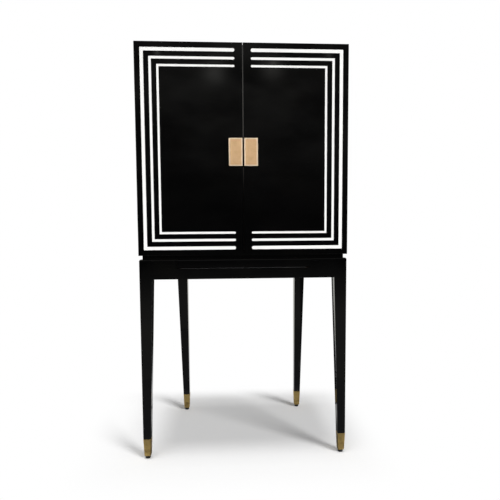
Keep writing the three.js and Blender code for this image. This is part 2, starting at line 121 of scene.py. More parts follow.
# Felt strip under the serving shelf's front edge
STRIP_DEPTH = 8 * MM
STRIP_SET_BACK = 0.5 * MM
STRIP_END_INSET = 12 * MM
STRIP_CLEARANCE = 0.9 * MM
DROP_FRONT_GAP = 1.5 * MM

# Door pads
PAD_RADIUS = 4.0 * MM
PAD_TOP_RADIUS = 3.72 * MM
PAD_THICKNESS = 1.7 * MM
PAD_EDGE_HEIGHT = 1.36 * MM
PAD_FROM_MIDDLE = 70 * MM

# Walnut lining: how far it runs on into the walls, and how far behind the front edges it begins
LINING_REACH = 0.3 * MM
LINING_SET_BACK = 0.6 * MM

# Colours, and for blends the place of each tone
LACQUER_BLACKS = ((0.0009, 0.0009, 0.0010), (0.0016, 0.0015, 0.0014))
WALNUT_TONES = [(0.30, (0.040, 0.018, 0.010)), (0.47, (0.105, 0.052, 0.028)),
                (0.60, (0.175, 0.094, 0.052)), (0.74, (0.085, 0.040, 0.021))]
WALNUT_PORES = (0.018, 0.008, 0.005)
INLAY_WHITES = ((0.93, 0.925, 0.905), (0.89, 0.885, 0.865))
INLAY_SPECKS = (0.70, 0.69, 0.66)
PULL_BRASSES = ((0.72, 0.487, 0.288), (0.67, 0.445, 0.256))
# Painted highlight: the pull rims' brass is paler than the plate's
PULL_RIM_HIGHLIGHT_BRASSES = ((0.86, 0.70, 0.54), (0.81, 0.65, 0.49))
FERRULE_TONES = [(0.36, (0.46, 0.328, 0.124)), (0.52, (0.38, 0.271, 0.100)),
                 (0.66, (0.265, 0.184, 0.069)), (0.80, (0.15, 0.104, 0.041))]
FERRULE_SPECKS = (0.09, 0.065, 0.035)
# The ferrule brass turns darker from its top down to its foot
FERRULE_FOOT_DARKENING = {"bottom": 4 * MM, "top": 80 * MM, "low": 0.20, "high": -0.05}
METAL_BLACKS = ((0.012, 0.012, 0.013), (0.024, 0.023, 0.023))
STEEL_GREYS = ((0.52, 0.52, 0.51), (0.42, 0.42, 0.41))
PLASTIC_BLACKS = ((0.004, 0.004, 0.004), (0.008, 0.008, 0.008))
FELT_BLACKS = ((0.012, 0.012, 0.012), (0.035, 0.034, 0.033))
FELT_GREYS = ((0.30, 0.30, 0.31), (0.52, 0.52, 0.53))

# Camera, from the photograph's own lines: metres, degrees and millimetres
CAMERA_PLACE = (-0.0557, -1.9609, 0.9451)
CAMERA_YAW = 3.101
CAMERA_TILT = 4.057
CAMERA_ROLL = -0.344
CAMERA_LENS = 31.854
CAMERA_SHIFT = (-0.0072, 0.0044)
SENSOR = 36.0

# Studio
FLOOR_CENTRE = (-0.05, 0.05)
FLOOR_RADIUS = 1.3
FLOOR_SIDES = 96
FLOOR_COLOUR = 0.58
FLOOR_CLOUD_SHARE = 0.985
FLOOR_GLOW = 0.07
FLOOR_FADES = {"left": (0.45, 0.72), "right": (0.42, 0.62), "front": (0.28, 0.52), "back": (0.32, 0.50)}
# Mirrors see a flat dim glow in place of the lit floor: painted shade under the cabinet and a painted dim
# reflection in front of it
FLOOR_PAINTED_DIM_IN_MIRRORS = 0.14
FLOOR_PAINTED_DIM_ZONE = {"from": -0.24, "to": -0.44, "under": 0.39, "within": (0.39, 0.34)}
AMBIENT = 0.34
OVERHEAD = {"towards": (0.025, 0.08, -1.0), "strength": 2.1, "angle": 15}
KEY = {"towards": (-0.70, 0.715, -0.62), "strength": 3.5, "angle": 20}

# What mirrors see: how far up, down, aside or back each thing begins and is full, and its strength
ROOM = {"from": -0.02, "to": 0.36, "low": 0.015, "high": 0.13}
ROOM_FLOOR = {"from": 0.06, "to": 0.24, "strength": 0.16}
ROOM_TINT = (1.0, 0.99, 0.93)
CLUTTER = {"scale": (6.0, 6.0, 13.0), "from": 0.32, "to": 0.68, "low": 0.45, "high": 1.55}
SOFTBOXES = {"middle": 0.03, "aside": (0.26, 0.38), "low": (0.05, 0.22), "high": (0.62, 0.80),
             "front": (0.0, 0.15), "strength": 4.7}
CEILING = {"from": 0.90, "to": 0.97, "strength": 1.0}
BACKDROP = {"from": -0.05, "to": 0.30, "strength": 1.0}
ROOM_SPOTS = [
    {"towards": (-0.029, -0.950, 0.310), "width": 0.9, "strength": 0.42},
    {"towards": (0.092, -0.944, 0.318), "width": 0.9, "strength": 0.40},
    {"towards": (-0.143, -0.929, 0.341), "width": 0.20, "strength": 0.8},
    {"towards": (0.094, -0.940, 0.328), "width": 0.20, "strength": 0.8},
    {"towards": (0.206, -0.918, 0.338), "width": 0.20, "strength": 0.8},
]


# Shader graphs

class Graph:
    """Adds nodes to one tree. Each call gives back the new node's output."""

    def __init__(self, tree):
        self.tree = tree

    def add(self, kind, inputs=None, output=0, **settings):
        made = self.tree.nodes.new(kind)
        for name, value in settings.items():
            setattr(made, name, value)
        for key, value in (inputs or {}).items():
            if isinstance(value, bpy.types.NodeSocket):
                self.tree.links.new(value, made.inputs[key])
            else:
                made.inputs[key].default_value = value
        return made.outputs[output]

    def place(self):
        return self.add("ShaderNodeTexCoord", output="Object")

    def math(self, operation, a, b=0.0):
        return self.add("ShaderNodeMath", {0: a, 1: b}, operation=operation)

    def vector(self, operation, a, b, output=0):
        return self.add("ShaderNodeVectorMath", {0: a, 1: b}, output, operation=operation)

    def axis(self, vector, name):
        return self.add("ShaderNodeSeparateXYZ", {0: vector}, name)

    def noise(self, place, scale, detail=2.0, roughness=0.5):
        return self.add("ShaderNodeTexNoise",
                        {"Vector": place, "Scale": scale, "Detail": detail, "Roughness": roughness})

    def scaled(self, place, scales):
        return self.vector("MULTIPLY", place, scales)

    def span(self, value, low, high, to_low=0.0, to_high=1.0):
        """value between low and high, eased and taken to to_low and to_high"""
        return self.add("ShaderNodeMapRange",
                        {0: value, 1: low, 2: high, 3: to_low, 4: to_high}, interpolation_type="SMOOTHSTEP")

    def ramp(self, value, stops):
        colour = self.add("ShaderNodeValToRGB", {0: value})
        elements = colour.node.color_ramp.elements
        while len(elements) < len(stops):
            elements.new(0.5)
        for element, (position, shade) in zip(elements, stops):
            element.position = position
            element.color = (*shade, 1)
        return colour

    def mix(self, factor, a, b):
        def shade(value):
            return value if isinstance(value, bpy.types.NodeSocket) else (*value, 1)
        return self.add("ShaderNodeMix", {0: factor, 6: shade(a), 7: shade(b)}, 2, data_type="RGBA")

    def blend(self, factor, a, b):
        return self.add("ShaderNodeMix", {0: factor, 2: a, 3: b}, 0, data_type="FLOAT")

    def bump(self, height, distance, normal=None):
        inputs = {"Height": height, "Distance": distance}
        if normal is not None:
            inputs["Normal"] = normal
        return self.add("ShaderNodeBump", inputs)


def new_material(name, **fixed):
    """A material with one Principled shader, and the graph and shader to finish it with"""
    material = bpy.data.materials.new(name)
    material.use_nodes = True
    graph = Graph(material.node_tree)
    shader = next(n for n in material.node_tree.nodes if n.type == "BSDF_PRINCIPLED")
    for socket, value in fixed.items():
        shader.inputs[socket.replace("_", " ")].default_value = value
    return material, graph, shader


def wire(graph, shader, **sources):
    for socket, source in sources.items():
        graph.tree.links.new(source, shader.inputs[socket.replace("_", " ")])


def lacquer_parts(graph, place):
    """Colour, roughness and bump of polished black lacquer"""
    haze = graph.noise(place, 5.0, 4.0, 0.6)
    colour = graph.mix(graph.span(haze, 0.45, 0.75), *LACQUER_BLACKS)
    smudges = graph.span(graph.noise(place, 14.0, 5.0, 0.65), 0.48, 0.72, 0.035, 0.075)
    scratches = graph.noise(graph.scaled(place, (900.0, 900.0, 60.0)), 1.0, 2.0)
    roughness = graph.math("ADD", smudges, graph.span(scratches, 0.68, 0.8, 0.0, 0.05))
    waves = graph.bump(graph.noise(place, 13.0, 1.0), 0.03 * MM)
    peel = graph.bump(graph.noise(place, 260.0, 1.0), 0.0012 * MM, waves)
    return colour, roughness, peel


def black_lacquer():
    material, graph, shader = new_material("black_lacquer", IOR=1.5)
    colour, roughness, normal = lacquer_parts(graph, graph.place())
    wire(graph, shader, Base_Color=colour, Roughness=roughness, Normal=normal)
    return material


def wood_parts(graph, place, grain):
    """Colour, roughness and bump of dark walnut veneer with its grain along one axis"""
    along = "XYZ".index(grain)

    def drawn_out(point, with_grain, across):
        return graph.scaled(point, tuple(with_grain if i == along else across for i in range(3)))

    wander = graph.noise(drawn_out(place, 1.2, 6.0), 1.0, 3.0)
    sideways = graph.add("ShaderNodeCombineXYZ", {i: wander for i in range(3) if i != along})
    bent = graph.vector("ADD", place, graph.scaled(sideways, (0.07, 0.07, 0.07)))
    rings = graph.noise(drawn_out(bent, 0.9, 46.0), 1.0, 3.0, 0.55)
    fibre = graph.noise(drawn_out(bent, 9.0, 700.0), 1.0, 2.0)
    pores = graph.noise(drawn_out(bent, 26.0, 1500.0), 1.0, 1.0)
    tone = graph.blend(0.28, rings, fibre)
    dark = graph.span(pores, 0.60, 0.72)
    colour = graph.mix(graph.math("MULTIPLY", dark, 0.7), graph.ramp(tone, WALNUT_TONES), WALNUT_PORES)
    roughness = graph.span(tone, 0.3, 0.7, 0.36, 0.52)
    normal = graph.bump(graph.math("SUBTRACT", fibre, dark), 0.03 * MM)
    return colour, roughness, normal


def walnut(grain):
    material, graph, shader = new_material(f"walnut_{grain.lower()}", IOR=1.5)
    colour, roughness, normal = wood_parts(graph, graph.place(), grain)
    wire(graph, shader, Base_Color=colour, Roughness=roughness, Normal=normal)
    return material


def lined_lacquer(grain):
    """Lacquer outside, walnut on the faces that look into the box"""
    material, graph, shader = new_material(f"lined_lacquer_{grain.lower()}", IOR=1.5)
    place = graph.place()
    low, high = lining_box()
    inside = None
    for axis, least, most in zip("XYZ", low, high):
        value = graph.axis(place, axis)
        above = graph.math("GREATER_THAN", value, least)
        below = graph.math("LESS_THAN", value, most)
        within = graph.math("MULTIPLY", above, below)
        inside = within if inside is None else graph.math("MULTIPLY", inside, within)
    black = lacquer_parts(graph, place)
    wood = wood_parts(graph, place, grain)
    wire(graph, shader,
         Base_Color=graph.mix(inside, black[0], wood[0]),
         Roughness=graph.blend(inside, black[1], wood[1]),
         Normal=graph.add("ShaderNodeMix", {0: inside, 4: black[2], 5: wood[2]}, 1, data_type="VECTOR"))
    return material


def lining_box():
    """The space inside the box, a little larger so that its walls fall in it"""
    low = Vector((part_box("carcass_side_left")[1].x - LINING_REACH,
                  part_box("carcass_bottom")[0].y + LINING_SET_BACK,
                  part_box("carcass_bottom")[1].z - LINING_REACH))
    high = Vector((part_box("carcass_side_right")[0].x + LINING_REACH,
                   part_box("back_panel")[0].y + LINING_REACH,
                   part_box("carcass_top")[0].z + LINING_REACH))
    return low, high


def white_inlay():
    material, graph, shader = new_material("white_inlay", IOR=1.5)
    place = graph.place()
    cloud = graph.noise(place, 22.0, 4.0, 0.6)
    specks = graph.span(graph.noise(place, 900.0, 2.0), 0.70, 0.78)
    colour = graph.mix(graph.span(cloud, 0.4, 0.7), *INLAY_WHITES)
    colour = graph.mix(graph.math("MULTIPLY", specks, 0.25), colour, INLAY_SPECKS)
    roughness = graph.span(graph.noise(place, 30.0, 3.0), 0.35, 0.7, 0.16, 0.26)
    wire(graph, shader, Base_Color=colour, Roughness=roughness,
         Normal=graph.bump(graph.noise(place, 260.0, 1.0), 0.002 * MM))
    return material


def satin_brass(name, colours, rough, brushed=True):
    """Pale brass with fine upright lines, which also show as relief where it is brushed"""
    material, graph, shader = new_material(name, Metallic=1.0)
    place = graph.place()
    cloud = graph.noise(place, 55.0, 4.0, 0.6)
    colour = graph.mix(graph.span(cloud, 0.38, 0.68), *colours)
    lines = graph.noise(graph.scaled(place, (5200.0, 5200.0, 130.0)), 1.0, 3.0, 0.6)
    colour = graph.mix(graph.span(lines, 0.45, 0.75, 0.0, 0.22), colour, tuple(0.8 * c for c in colours[0]))
    roughness = graph.math("ADD", graph.span(lines, 0.3, 0.7, rough - 0.05, rough + 0.07),
                           graph.span(cloud, 0.5, 0.75, 0.0, 0.06))
    wire(graph, shader, Base_Color=colour, Roughness=roughness)
    if brushed:
        wire(graph, shader, Normal=graph.bump(lines, 0.004 * MM))
    return material


def aged_brass():
    """Brass with a brown patina, darker and a little rougher towards the foot"""
    material, graph, shader = new_material("aged_brass", Metallic=1.0)
    place = graph.place()
    patina = graph.noise(place, 38.0, 5.0, 0.65)
    # Darker and rougher towards the foot
    foot_darkening = graph.span(graph.axis(place, "Z"), FERRULE_FOOT_DARKENING["bottom"], FERRULE_FOOT_DARKENING["top"],
                      FERRULE_FOOT_DARKENING["low"], FERRULE_FOOT_DARKENING["high"])
    patina_and_darkening = graph.math("ADD", patina, foot_darkening)
    specks = graph.span(graph.noise(place, 700.0, 2.0), 0.66, 0.76)
    colour = graph.mix(graph.math("MULTIPLY", specks, 0.5), graph.ramp(patina_and_darkening, FERRULE_TONES), FERRULE_SPECKS)
    lines = graph.noise(graph.scaled(place, (3600.0, 3600.0, 160.0)), 1.0, 2.0)
    roughness = graph.math("ADD", graph.span(patina_and_darkening, 0.35, 0.75, 0.30, 0.48),
                           graph.span(lines, 0.4, 0.7, 0.0, 0.06))
    wire(graph, shader, Base_Color=colour, Roughness=roughness, Normal=graph.bump(lines, 0.003 * MM))
    return material


def plain_metal(name, colours, rough, metallic, scales):
    """Brushed or painted metal, rubbed a little in patches"""
    material, graph, shader = new_material(name, Metallic=metallic)
    place = graph.place()
    cloud = graph.noise(place, 90.0, 4.0, 0.6)
    lines = graph.noise(graph.scaled(place, scales), 1.0, 2.0)
    colour = graph.mix(graph.span(cloud, 0.4, 0.7), *colours)
    roughness = graph.math("ADD", graph.span(cloud, 0.35, 0.7, rough, rough + 0.1),
                           graph.span(lines, 0.4, 0.7, 0.0, 0.08))
    wire(graph, shader, Base_Color=colour, Roughness=roughness, Normal=graph.bump(lines, 0.004 * MM))
    return material


def black_plastic():
    material, graph, shader = new_material("black_plastic", IOR=1.3)
    place = graph.place()
    grain = graph.noise(place, 1400.0, 2.0)
    colour = graph.mix(graph.noise(place, 120.0, 3.0), *PLASTIC_BLACKS)
    roughness = graph.span(graph.noise(place, 200.0, 3.0), 0.35, 0.7, 0.42, 0.58)
    wire(graph, shader, Base_Color=colour, Roughness=roughness, Normal=graph.bump(grain, 0.02 * MM))
    return material


def felt(name, colours):
    material, graph, shader = new_material(name, Sheen_Weight=0.6, Sheen_Roughness=0.4)
    place = graph.place()
    fluff = graph.noise(place, 2600.0, 4.0, 0.7)
    colour = graph.mix(fluff, *colours)
    roughness = graph.span(fluff, 0.3, 0.7, 0.85, 0.98)
    wire(graph, shader, Base_Color=colour, Roughness=roughness, Normal=graph.bump(fluff, 0.15 * MM))
    return material


LACQUER = black_lacquer()
LINED = {grain: lined_lacquer(grain) for grain in "XYZ"}
WALNUT = {grain: walnut(grain) for grain in "XYZ"}
INLAY = white_inlay()
BRASS = satin_brass("satin_brass", PULL_BRASSES, 0.50)
# Painted highlight: the rim steps of each pull get a paler brass; unbrushed and a little smoother is their
# real finish
BRASS_RIM_HIGHLIGHT = satin_brass("satin_brass_rim_highlight", PULL_RIM_HIGHLIGHT_BRASSES, 0.48, brushed=False)
FERRULE = aged_brass()
BLACK_METAL = plain_metal("black_metal", METAL_BLACKS, 0.28, 0.3, (60.0, 60.0, 60.0))
STEEL = plain_metal("steel", STEEL_GREYS, 0.26, 1.0, (140.0, 2400.0, 2400.0))
PLASTIC = black_plastic()
FELT = felt("felt", FELT_BLACKS)
GREY_FELT = felt("grey_felt", FELT_GREYS)


# Shapes

def mesh_object(name, work, materials, body):
    """A new piece from a bmesh, which rides on a body and names the slot of its finish"""
    mesh = bpy.data.meshes.new(name)
    bmesh.ops.recalc_face_normals(work, faces=work.faces)
    work.to_mesh(mesh)
    work.free()
    piece = bpy.data.objects.new(name, mesh)
    bpy.context.scene.collection.objects.link(piece)
    for material in materials:
        mesh.materials.append(material)
    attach(piece, body)
    return piece


def smoothing_group():
    """Geometry nodes that shade smooth all but the sharp edges"""
    group = bpy.data.node_groups.new("smooth_by_angle", "GeometryNodeTree")
    group.interface.new_socket("Mesh", in_out="INPUT", socket_type="NodeSocketGeometry")
    group.interface.new_socket("Mesh", in_out="OUTPUT", socket_type="NodeSocketGeometry")
    graph = Graph(group)
    mesh = graph.add("NodeGroupInput")
    angle = graph.add("GeometryNodeInputMeshEdgeAngle")
    sharp = graph.add("FunctionNodeCompare", {0: angle, 1: SMOOTH_BELOW}, operation="GREATER_THAN")
    faces = graph.add("GeometryNodeSetShadeSmooth", {"Geometry": mesh, "Shade Smooth": True}, domain="FACE")
    smooth = graph.add("FunctionNodeBooleanMath", {0: sharp}, operation="NOT")
    edges = graph.add("GeometryNodeSetShadeSmooth", {"Geometry": faces, "Shade Smooth": smooth},
                      domain="EDGE")
    graph.add("NodeGroupOutput", {0: edges}, output=slice(0))
    return group


SMOOTHING = smoothing_group()


def shade(piece):
    smooth = piece.modifiers.new("smooth", "NODES")
    smooth.node_group = SMOOTHING
    weighted = piece.modifiers.new("weighted", "WEIGHTED_NORMAL")
    weighted.keep_sharp = True
    return piece


def soften(piece, width, above=BEVEL_ABOVE, segments=BEVEL_SEGMENTS):
    """Rounds a piece's edges above an angle by modifiers, so its own mesh stays as it is"""
    weld = piece.modifiers.new("weld", "WELD")
    weld.merge_threshold = WELD_WITHIN
    bevel = piece.modifiers.new("bevel", "BEVEL")
    bevel.width = width
    bevel.segments = segments
    bevel.limit_method = "ANGLE"
    bevel.angle_limit = above
    bevel.use_clamp_overlap = True
    return shade(piece)


def paint(node, material):
    piece = nodes[node]
    if not piece.material_slots:
        piece.data.materials.append(material)
    for place in piece.material_slots:
        place.material = material
    return piece


def box_work(low, high):
    work = bmesh.new()
    bmesh.ops.create_cube(work, size=1.0)
    middle = (Vector(low) + Vector(high)) / 2
    size = Vector(high) - Vector(low)
    fitted = Matrix.Translation(middle) @ Matrix.Diagonal((*size, 1))
    bmesh.ops.transform(work, matrix=fitted, verts=work.verts)
    return work


def boolean(piece, work, operation):
    """Cuts a piece by a bmesh, or keeps what they share, and writes the result into its mesh"""
    mesh = bpy.data.meshes.new("cutter")
    work.to_mesh(mesh)
    work.free()
    cutter = bpy.data.objects.new("cutter", mesh)
    bpy.context.scene.collection.objects.link(cutter)
    modifier = piece.modifiers.new("boolean", "BOOLEAN")
    modifier.operation = operation
    modifier.solver = "EXACT"
    modifier.object = cutter
    bpy.context.view_layer.update()
    evaluated = piece.evaluated_get(bpy.context.evaluated_depsgraph_get())
    result = bpy.data.meshes.new_from_object(evaluated)
    piece.modifiers.remove(modifier)
    piece.data = result
    bpy.data.objects.remove(cutter)


def merge_flat_faces(mesh):
    """Joins faces that lie in one plane, so that thin ones don't disturb the shading"""
    work = bmesh.new()
    work.from_mesh(mesh)
    bmesh.ops.dissolve_limit(work, angle_limit=FLAT_WITHIN, verts=work.verts, edges=work.edges)
    work.to_mesh(mesh)
    work.free()


def rounded_board(node, name, low, high, material):
    """A copy of a lacquered board with the edges that it shares with a box from low to high rounded"""
    work = bmesh.new()
    work.from_mesh(nodes[node].data)
    bmesh.ops.remove_doubles(work, verts=work.verts, dist=WELD_WITHIN)
    piece = mesh_object(name, work, [material], body_of[node])
    cutter = box_work(low, high)
    bmesh.ops.bevel(cutter, geom=cutter.edges[:], offset=LACQUER_RADIUS, segments=LACQUER_SEGMENTS,
                    profile=ROUND_PROFILE, affect="EDGES")
    boolean(piece, cutter, "INTERSECT")
    merge_flat_faces(piece.data)
    piece.data.materials.clear()
    piece.data.materials.append(material)
    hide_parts(node)
    shade(piece)


def loft(sections, material_index=None):
    """A closed skin over loops of points, all of one length"""
    work = bmesh.new()
    rings = [[work.verts.new(point) for point in section] for section in sections]
    for level, (lower, upper) in enumerate(zip(rings, rings[1:])):
        for i in range(len(lower)):
            j = (i + 1) % len(lower)
            face = work.faces.new((lower[i], lower[j], upper[j], upper[i]))
            face.material_index = material_index(level) if material_index else 0
    work.faces.new(reversed(rings[0]))
    work.faces.new(rings[-1])
    return work


def rounded_square(half, radius):
    """Points round a square with round corners, centred on zero"""
    points = []
    middle = Vector((half - radius, half - radius))
    for quarter in range(4):
        turn = quarter * math.pi / 2
        for step in range(ROUND_STEPS + 1):
            angle = step / ROUND_STEPS * math.pi / 2
            corner = middle + radius * Vector((math.cos(angle), math.sin(angle)))
            points.append((corner.x * math.cos(turn) - corner.y * math.sin(turn),
                           corner.x * math.sin(turn) + corner.y * math.cos(turn)))
    return points


def lathe(profile, sides):
    """Loops for loft: profile is a list of radius and height, off the axis throughout"""
    turns = [2 * math.pi * i / sides for i in range(sides)]
    return [[Vector((radius * math.cos(turn), radius * math.sin(turn), z)) for turn in turns]
            for radius, z in profile]


# Screws: one countersunk cross-head, copied to each place

def screw_mesh():
    profile = [(SCREW_TIP_RADIUS, -SCREW_DEPTH), (SCREW_RADIUS, -SCREW_DOME), (SCREW_RADIUS, -SCREW_EDGE)]
    for step in range(1, SCREW_DOME_STEPS):
        angle = step / SCREW_DOME_STEPS * math.pi / 2
        profile.append((SCREW_RADIUS * math.cos(angle), SCREW_DOME * math.sin(angle)))
    work = loft(lathe(profile, SCREW_SIDES))
    mesh = bpy.data.meshes.new("screw")
    bmesh.ops.recalc_face_normals(work, faces=work.faces)
    work.to_mesh(mesh)
    work.free()
    piece = bpy.data.objects.new("screw", mesh)
    bpy.context.scene.collection.objects.link(piece)
    length, width, depth = SCREW_CROSS
    for across, up in ((length, width), (width, length)):
        slot_low = (-across / 2, -up / 2, -depth)
        slot_high = (across / 2, up / 2, SCREW_DOME * 2)
        boolean(piece, box_work(slot_low, slot_high), "DIFFERENCE")
    result = piece.data
    bpy.data.objects.remove(piece)
    return result


SCREW = screw_mesh()


def add_screws(name, places, facing, body, material, size=1.0):
    """Screws at points of a surface that looks along facing"""
    turn = Vector(facing).to_track_quat("Z", "Y").to_matrix().to_4x4()
    work = bmesh.new()
    for number, point in enumerate(places):
        spin = Matrix.Rotation(math.radians(SCREW_FIRST_TURN + SCREW_NEXT_TURN * number), 4, "Z")
        before = len(work.verts)
        work.from_mesh(SCREW)
        work.verts.ensure_lookup_table()
        bmesh.ops.transform(work, matrix=Matrix.Translation(point) @ turn @ spin @ Matrix.Scale(size, 4),
                            verts=work.verts[before:])
    shade(mesh_object(name, work, [material], body))


def add_hinge_screws():
    """Screws in the inner face of each hinge leaf, set to and fro across it"""
    for level in LEVELS:
        for side_name, side in SIDES.items():
            for part, facing in (("box", -1), ("door", 1)):
                node = f"hinge_{level}_{side_name}_{part}_leaf"
                low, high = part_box(node)
                pin_low, pin_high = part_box(f"hinge_{level}_{side_name}_pin")
                pin = (pin_low + pin_high) / 2
                inner = high.x if side < 0 else low.x
                face = pin.y - facing * LEAF_FACE_FROM_AXIS
                places = []
                for number, share in enumerate(LEAF_SCREW_SHARES):
                    aside = LEAF_SCREW_ASIDE if number % 2 else -LEAF_SCREW_ASIDE
                    places.append(Vector((inner + side * (LEAF_SCREW_INSET + aside), face,
                                          low.z + share * (high.z - low.z))))
                add_screws(f"screws_hinge_{level}_{side_name}_{part}", places, (0, facing, 0),
                           body_of[node], BLACK_METAL)


# Box

def add_box_boards():
    low = Vector((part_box("carcass_side_left")[0].x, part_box("carcass_top")[0].y,
                  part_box("carcass_bottom")[0].z))
    high = Vector((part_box("carcass_side_right")[1].x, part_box("carcass_top")[1].y,
                   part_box("carcass_top")[1].z))
    for node, grain in (("carcass_top", "X"), ("carcass_bottom", "X"),
                        ("carcass_side_left", "Z"), ("carcass_side_right", "Z")):
        rounded_board(node, node.replace("carcass", "box_board"), low, high, LINED[grain])


def add_fittings():
    for node in ("fixed_shelf", "back_panel"):
        soften(paint(node, WALNUT["X"]), BOARD_BEVEL)
    soften(paint("bottle_divider", WALNUT["Z"]), BOARD_BEVEL)
    for number in range(1, 5):
        node = f"stemware_rail_{number}"
        soften(paint(node, WALNUT["Y"]), BOARD_BEVEL)
        low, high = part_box(node)
        middle = (low.x + high.x) / 2
        places = [Vector((middle, low.y + share * (high.y - low.y), low.z)) for share in RAIL_SCREW_SHARES]
        add_screws(f"screws_{node}", places, (0, 0, -1), "cabinet", STEEL)
    add_back_screws()
    add_catch()


def add_back_screws():
    low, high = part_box("back_panel")
    y = high.y
    left, right = low.x + BACK_SCREW_INSET, high.x - BACK_SCREW_INSET
    bottom, top = low.z + BACK_SCREW_INSET, high.z - BACK_SCREW_INSET
    places = []
    for i in range(BACK_SCREWS_ACROSS):
        x = left + (right - left) * i / (BACK_SCREWS_ACROSS - 1)
        places += [Vector((x, y, bottom)), Vector((x, y, top))]
    for i in range(1, BACK_SCREWS_UP):
        z = bottom + (top - bottom) * i / BACK_SCREWS_UP
        places += [Vector((left, y, z)), Vector((right, y, z))]
    add_screws("screws_back_panel", places, (0, 1, 0), "cabinet", BLACK_METAL,
               BACK_SCREW_SIZE)


def add_catch():
    soften(paint("magnetic_catch", PLASTIC), SMALL_BEVEL * 2)
    low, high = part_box("magnetic_catch")
    middle = (low + high) / 2
    places = [Vector((middle.x + share * (high.x - low.x), middle.y + CATCH_SCREW_BACK, low.z))
              for share in CATCH_SCREW_SHARES]
    add_screws("screws_catch", places, (0, 0, -1), "cabinet", STEEL, CATCH_SCREW_SIZE)
    for side_name in SIDES:
        node = f"strike_plate_{side_name}"
        soften(paint(node, STEEL), SMALL_BEVEL)
        plate_low, plate_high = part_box(node)
        place = (plate_low + plate_high) / 2
        place.y = plate_high.y
        add_screws(f"screw_{node}", [place], (0, 1, 0), body_of[node], STEEL)
    for side_name, side in SIDES.items():
        add_magnets(side_name, side, low, high)


def add_magnets(side_name, side, low, high):
    """Two steel strips of a magnet, in the front of the catch"""
    centre = side * (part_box("strike_plate_right")[0].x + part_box("strike_plate_right")[1].x) / 2
    half = (high.x - low.x) * MAGNET_HALF_SHARE
    work = bmesh.new()
    for share in MAGNET_LEVEL_SHARES:
        z = low.z + share * (high.z - low.z)
        strip = box_work((centre - half, low.y - MAGNET_PROUD, z - MAGNET_HALF_THICKNESS),
                         (centre + half, low.y + MAGNET_DEPTH, z + MAGNET_HALF_THICKNESS))
        mesh = bpy.data.meshes.new("strip")
        strip.to_mesh(mesh)
        strip.free()
        work.from_mesh(mesh)
        bpy.data.meshes.remove(mesh)
    piece = mesh_object(f"magnet_strips_{side_name}", work, [STEEL], "cabinet")
    soften(piece, MAGNET_BEVEL)


def add_pads():
    """Felt pads between the doors and the front edges of the box"""
    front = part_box("carcass_top")[0].y
    top = (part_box("carcass_top")[0].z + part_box("carcass_top")[1].z) / 2
    bottom = (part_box("carcass_bottom")[0].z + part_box("carcass_bottom")[1].z) / 2
    profile = [(PAD_RADIUS, 0.0), (PAD_RADIUS, PAD_EDGE_HEIGHT), (PAD_TOP_RADIUS, PAD_THICKNESS)]
    for level, z in (("upper", top), ("lower", bottom)):
        for side_name, side in SIDES.items():
            work = loft(lathe(profile, ROUND_SIDES))
            turn = Vector((0, -1, 0)).to_track_quat("Z", "Y").to_matrix().to_4x4()
            place = Vector((side * PAD_FROM_MIDDLE, front, z))
            bmesh.ops.transform(work, matrix=Matrix.Translation(place) @ turn, verts=work.verts)
            shade(mesh_object(f"door_pad_{level}_{side_name}", work, [FELT], "cabinet"))


# Doors

def add_doors():
    for side_name in SIDES:
        low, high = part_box(f"door_{side_name}")
        rounded_board(f"door_{side_name}", f"door_panel_{side_name}", low, high, LACQUER)
        for line in ("outer", "middle", "inner"):
            shade(paint(f"inlay_{line}_{side_name}", INLAY))
        for level in LEVELS:
            for part in ("box_leaf", "door_leaf", "pin"):
                shade(paint(f"hinge_{level}_{side_name}_{part}", BLACK_METAL))
        add_pull(side_name)


def add_pull(side_name):
    node = f"pull_{side_name}"
    low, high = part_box(node)
    middle = (low + high) / 2

    def ring(half_width, half_height, y):
        return [Vector((middle.x + a * half_width, y, middle.z + b * half_height))
                for a, b in ((-1, -1), (1, -1), (1, 1), (-1, 1))]

    back = low.y + PULL_THICKNESS
    neck = [size / 2 for size in PULL_NECK]
    sections = [ring(*neck, high.y), ring(*neck, back)]
    half = ((high.x - low.x) / 2, (high.z - low.z) / 2)
    for inset, depth in PULL_STEPS:
        sections.append(ring(half[0] - inset * MM, half[1] - inset * MM, low.y + depth * MM))
    # The rim steps take the second slot, whose paler brass is a painted highlight
    work = loft(sections, lambda level: int(level in PULL_RIM_LEVELS))
    piece = mesh_object(f"pull_plate_{side_name}", work, [BRASS, BRASS_RIM_HIGHLIGHT], body_of[node])
    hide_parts(node)
    soften(piece, SMALL_BEVEL, PULL_BEVEL_ABOVE, FINE_SEGMENTS)


# Stand

def add_stand():
    for node in ("apron_front", "rail_side_left", "rail_side_right", "rail_rear", "plinth_board"):
        soften(paint(node, LACQUER), STAND_BEVEL)
    for corner in CORNERS:
        soften(paint(f"leg_{corner}", LACQUER), LEG_BEVEL)
        add_ferrule(corner)
        add_glide(corner)


def add_ferrule(corner):
    node = f"ferrule_{corner}"
    low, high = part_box(node)
    middle = (low + high) / 2
    top_half = (high.x - low.x) / 2
    foot_half = FERRULE_FOOT_WIDTH / 2
    stations = []
    for step in range(ROUND_STEPS + 1):
        angle = step / ROUND_STEPS * math.pi / 2
        stations.append((low.z + FERRULE_FOOT_RADIUS * (1 - math.cos(angle)),
                         foot_half - FERRULE_FOOT_RADIUS * (1 - math.sin(angle))))
    stations += [(high.z - FERRULE_LIP, top_half), (high.z, top_half - FERRULE_LIP)]
    sections = [[Vector((middle.x + x, middle.y + y, z)) for x, y in rounded_square(half, FERRULE_CORNER)]
                for z, half in stations]
    piece = mesh_object(f"ferrule_cap_{corner}", loft(sections), [FERRULE], body_of[node])
    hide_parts(node)
    shade(piece)


